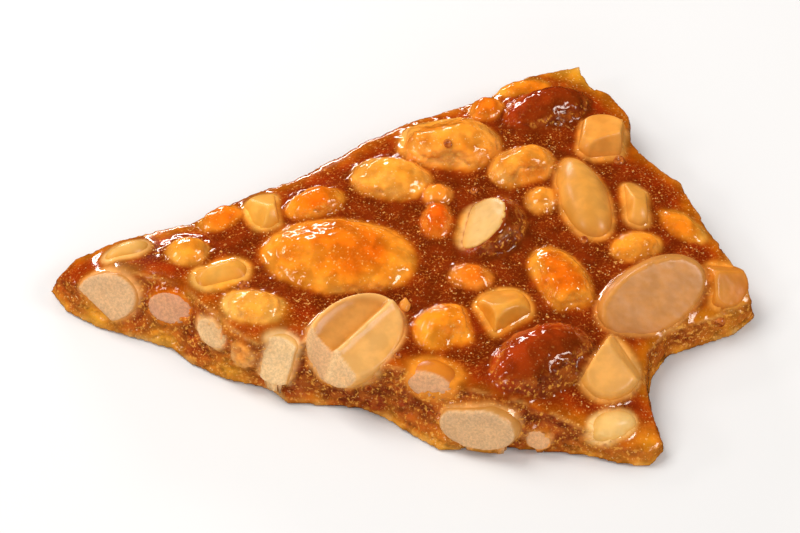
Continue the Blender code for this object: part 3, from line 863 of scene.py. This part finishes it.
def caramelFinish():
    finish, tree, shader = startFinish("clearCaramel")
    colour = readLayer(tree, "below", "Color")
    cloud = stretch(tree, speckle(tree, 420, 3.0), 0.35, 0.65, 0.78, 1.22)
    colour = blendColours(tree, 1.0, colour, cloud, 'MULTIPLY')
    side = readLayer(tree, "side")
    patches = stretch(tree, speckle(tree, 330, 3.0), 0.36, 0.64, 0.25, 1.0)
    offSkin = stretch(tree, readLayer(tree, "overSkin"), 0.1, 0.9, 1.0, 0.22)
    patches = maths(tree, 'MULTIPLY', patches, offSkin)
    clots = maths(tree, 'MULTIPLY', stretch(tree, speckle(tree, 700, 3.0), 0.42, 0.62), side)
    colour = blendColours(tree, maths(tree, 'MULTIPLY', clots, 0.42), colour, tint(214, 112, 26))
    dust = maths(tree, 'MULTIPLY', stretch(tree, speckle(tree, 3600, 2.0), 0.52, 0.66), patches)
    colour = blendColours(tree, maths(tree, 'MULTIPLY', dust, 0.40), colour, tint(226, 128, 44))
    fine = maths(tree, 'MULTIPLY', stretch(tree, speckle(tree, 2500, 1.5), 0.62, 0.72), patches)
    colour = blendColours(tree, maths(tree, 'MULTIPLY', fine, 0.75), colour, tint(250, 184, 96))
    sparse = maths(tree, 'MULTIPLY', glitter(tree, 1350, 0.07, 0.16), patches)
    colour = blendColours(tree, maths(tree, 'MULTIPLY', sparse, 0.8), colour, tint(255, 214, 144))
    onSide = maths(tree, 'MULTIPLY', side, 0.75)
    frost = maths(tree, 'MULTIPLY', stretch(tree, speckle(tree, 2000, 2.5), 0.55, 0.66), onSide)
    colour = blendColours(tree, frost, colour, tint(240, 164, 62))
    # paler along the rim crest: thin caramel there, plus a painted highlight where the sharp edge catches
    # the light
    paintedCrestHighlight = maths(tree, 'MULTIPLY', readLayer(tree, "crest"), 0.55)
    colour = blendColours(tree, paintedCrestHighlight, colour, tint(240, 176, 88))
    tree.links.new(colour, shader.inputs["Base Color"])
    rough = stretch(tree, side, 0.2, 0.8, 0.12, 0.26)
    tree.links.new(rough, shader.inputs["Roughness"])
    shader.inputs["IOR"].default_value = 1.48
    shader.inputs["Specular Tint"].default_value = (1.0, 0.88, 0.76, 1)
    shader.inputs["Coat Weight"].default_value = 0.45
    shader.inputs["Coat Roughness"].default_value = 0.04
    bump = addNode(tree, 'ShaderNodeBump', Strength=0.6, Distance=0.00012)
    onFilm = maths(tree, 'MULTIPLY', readLayer(tree, "film"), 0.30)
    lift = maths(tree, 'ADD', stretch(tree, side, 0.1, 0.8, 0.10, 1.0), onFilm)
    tree.links.new(maths(tree, 'MULTIPLY', speckle(tree, 1300, 3.0), lift), bump.inputs["Height"])
    tree.links.new(bump.outputs["Normal"], shader.inputs["Normal"])
    return finish


def fleshFinish(name, skinned):
    finish, tree, shader = startFinish(name)
    cut, dry = readLayer(tree, "cut"), readLayer(tree, "dry")
    colour = readLayer(tree, "flesh", "Color")
    grain = speckle(tree, 1100, 4.0, 0.7)
    if skinned:
        streaks = stretch(tree, speckle(tree, 600, 4.0), 0.35, 0.65, 0.7, 1.35)
        skin = blendColours(tree, 1.0, tint(*redTone), streaks, 'MULTIPLY')
        colour = blendColours(tree, cut, skin, colour)
    mottle = stretch(tree, speckle(tree, 420, 3.0), 0.35, 0.65, 0.90, 1.08)
    colour = blendColours(tree, 1.0, colour, mottle, 'MULTIPLY')
    crumb = stretch(tree, speckle(tree, 3000, 3.0, 0.7), 0.32, 0.68, 0.82, 1.10)
    powdery = blendColours(tree, 0.42, colour, tint(238, 206, 166))
    crumbled = blendColours(tree, 1.0, powdery, crumb, 'MULTIPLY')
    colour = blendColours(tree, dry, colour, crumbled)
    tree.links.new(colour, shader.inputs["Base Color"])
    tree.links.new(stretch(tree, dry, 0.2, 0.8, 0.32, 0.65), shader.inputs["Roughness"])
    shader.inputs["Subsurface Weight"].default_value = 0.12
    shader.inputs["Subsurface Radius"].default_value = (1.0, 0.6, 0.3)
    shader.inputs["Subsurface Scale"].default_value = 0.0006
    bump = addNode(tree, 'ShaderNodeBump', Strength=0.5, Distance=0.0001)
    coarse = stretch(tree, dry, 0.1, 0.8, 0.2, 1.0)
    tree.links.new(maths(tree, 'MULTIPLY', grain, coarse), bump.inputs["Height"])
    tree.links.new(bump.outputs["Normal"], shader.inputs["Normal"])
    return finish


def blisterFinish():
    finish, tree, shader = startFinish("blisterSugar")
    cloud = stretch(tree, speckle(tree, 1500, 2.0), 0.35, 0.65)
    colour = blendColours(tree, cloud, tint(150, 60, 18), tint(206, 118, 50))
    tree.links.new(colour, shader.inputs["Base Color"])
    shader.inputs["Roughness"].default_value = 0.10
    shader.inputs["IOR"].default_value = 1.48
    shader.inputs["Coat Weight"].default_value = 0.5
    shader.inputs["Coat Roughness"].default_value = 0.04
    return finish


clearCaramel = caramelFinish()
blisterSugar = blisterFinish()
paleFlesh = fleshFinish("roastedFlesh", False)
redSkin = fleshFinish("redSkin", True)


def settle(piece, finish, slot, *nodes):
    piece.data.materials.clear()
    piece.data.materials.append(finish)
    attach(piece, "root")
    if nodes:
        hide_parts(*nodes)


slotOf = {"bare": "nut_flesh", "glazed": "nut_glazed", "skin": "nut_skin"}
for name, piece in pieces.items():
    flesh = kernels[name]["flesh"]
    settle(piece, redSkin if flesh == "skin" else paleFlesh, slotOf[flesh], name)
settle(caramel, clearCaramel, "caramel", "caramel")
for piece in blisterPieces:
    settle(piece, blisterSugar, "caramel")
for piece in crumbPieces:
    settle(piece, paleFlesh, "nut_flesh")
print("finishes on")

# stage

studio = dict(lift=50, lens=120, sensor=36, width=102.2, aim=(0.07, -3.2, 4.0), key=1.74, rim=0.60,
              side=0.26, patch=0.22, fill=0.62, front=0.62, sky=0.38)

deselectAll()
bpy.ops.mesh.primitive_plane_add(size=3.0, location=(0, 0, -0.0002))
floor = bpy.context.object
floor.name = "floor"
paper = bpy.data.materials.new("palePaper")
paper.use_nodes = True
paper.node_tree.nodes["Principled BSDF"].inputs["Base Color"].default_value = (0.80, 0.80, 0.80, 1)
paper.node_tree.nodes["Principled BSDF"].inputs["Roughness"].default_value = 0.9
floor.data.materials.append(paper)
floor.visible_glossy = False

aim = Vector(studio["aim"]) * mm
lens = bpy.data.cameras.new("camera")
lens.lens = studio["lens"]
lens.sensor_width = studio["sensor"]
lens.clip_start = 0.01
camera = bpy.data.objects.new("camera", lens)
bpy.context.scene.collection.objects.link(camera)
back = heading(-90, studio["lift"])
camera.location = aim + back * studio["lens"] * studio["width"] / studio["sensor"] * mm
camera.rotation_euler = (-back).to_track_quat('-Z', 'Y').to_euler()
bpy.context.scene.camera = camera


def softbox(name, azimuth, rise, distance, size, power, colour=(1, 1, 1), shine=True):
    lamp = bpy.data.lights.new(name, 'AREA')
    lamp.shape = 'RECTANGLE'
    lamp.size, lamp.size_y = size
    lamp.energy = power
    lamp.color = colour
    holder = bpy.data.objects.new(name, lamp)
    bpy.context.scene.collection.objects.link(holder)
    holder.visible_glossy = shine
    way = heading(azimuth, rise)
    holder.location = way * distance
    holder.rotation_euler = (-way).to_track_quat('-Z', 'Y').to_euler()


softbox("keyLight", 150, 58, 0.5, (0.30, 0.30), studio["key"], (1, 0.98, 0.95), shine=False)
softbox("rimLight", 108, 15, 0.5, (0.20, 0.030), studio["rim"], (1, 0.94, 0.93))
softbox("sideLight", 150, 30, 0.5, (0.10, 0.035), studio["side"], (1, 0.95, 0.94))
softbox("patchLight", 205, 38, 0.5, (0.07, 0.10), studio["patch"], (1, 0.95, 0.94))
softbox("frontLight", -95, 16, 0.5, (0.40, 0.16), studio["front"], (1, 0.98, 0.95), shine=False)
softbox("fillLight", -15, 40, 0.5, (0.10, 0.16), studio["fill"], (1, 0.97, 0.95))
sky = bpy.data.worlds.new("sky")
sky.use_nodes = True
sky.node_tree.nodes["Background"].inputs["Color"].default_value = (1, 0.98, 0.96, 1)
sky.node_tree.nodes["Background"].inputs["Strength"].default_value = studio["sky"]
sky.cycles_visibility.glossy = False
bpy.context.scene.world = sky
bpy.context.scene.view_settings.view_transform = 'Standard'
print("stage set")
